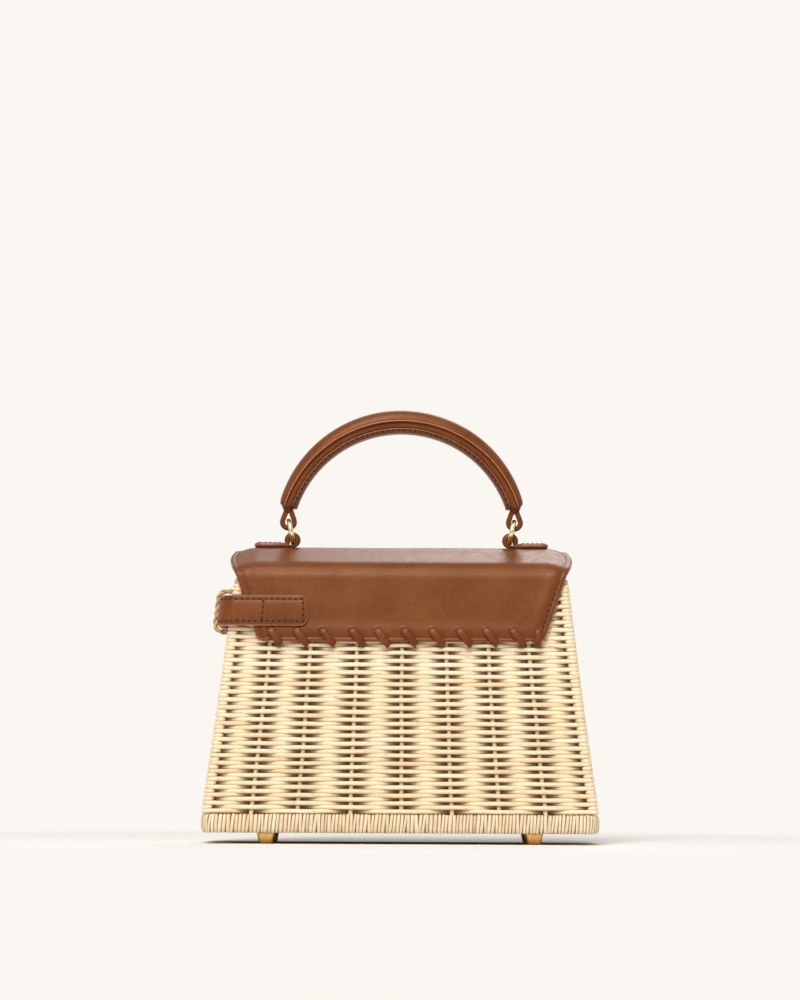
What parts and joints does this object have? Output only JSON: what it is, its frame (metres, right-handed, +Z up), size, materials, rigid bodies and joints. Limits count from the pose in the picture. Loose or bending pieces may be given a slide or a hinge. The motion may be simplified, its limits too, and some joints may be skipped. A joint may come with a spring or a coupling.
{
  "type": "rattan handbag",
  "caption": "Small top handle bag: a woven rattan basket that widens to its foot, a laced leather lid, an arched handle on rings, a side strap and brass feet.",
  "frame": {"origin": "on the floor, midway between the four feet", "axes": "+Z up; -Y is the back, with the lacing; +Y is the front, with the flap; +X is to the right seen from the back"},
  "size_m": [0.21, 0.095, 0.2339],
  "materials": {
    "rattan": "pale peeled reed, satin",
    "cane": "flat cane, satin",
    "leather": "smooth tan hide, semi gloss",
    "brass": "polished",
    "board": "plain plywood",
    "steel": "zinc plated"
  },
  "bodies": {
    "basket": {"woven_body": "rattan", "base_rim": "cane", "base_board": "board", "top_rim": "cane", "corner_post_back_left": "rattan", "corner_post_back_right": "rattan", "corner_post_front_left": "rattan", "corner_post_front_right": "rattan", "foot_back_left": "brass", "foot_back_right": "brass", "foot_front_left": "brass", "foot_front_right": "brass", "foot_screws": "steel", "back_panel": "leather", "lacing": "leather", "strap": "leather", "snap_stud": "steel", "keeper_loop": "rattan"},
    "lid": {"lid": "leather", "snap_socket": "steel", "tab_left": "leather", "tab_right": "leather"},
    "ring_left": {"ring_left": "brass"},
    "ring_right": {"ring_right": "brass"},
    "handle": {"handle_strap": "leather", "handle_grip": "leather"}
  },
  "joints": [
    {"name": "lid_hinge", "type": "hinge", "parent": "basket", "child": "lid", "pos_m": [0, -0.03301, 0.14145], "axis": [1, 0, 0], "range_deg": [0, 105]},
    {"name": "handle_swing", "type": "hinge", "parent": "lid", "child": "handle", "pos_m": [0, 0, 0.1678], "axis": [1, 0, 0], "range_deg": [-60, 60]},
    {"name": "ring_left_turn", "type": "hinge", "parent": "lid", "child": "ring_left", "pos_m": [-0.0599, 0, 0.1678], "axis": [1, 0, 0], "range_deg": [-30, 30]},
    {"name": "ring_right_turn", "type": "hinge", "parent": "lid", "child": "ring_right", "pos_m": [0.0599, 0, 0.1678], "axis": [1, 0, 0], "range_deg": [-30, 30]}
  ],
  "couplings": [
    {"joint": "ring_left_turn", "follows": "handle_swing", "ratio": 0.5},
    {"joint": "ring_right_turn", "follows": "handle_swing", "ratio": 0.5}
  ]
}
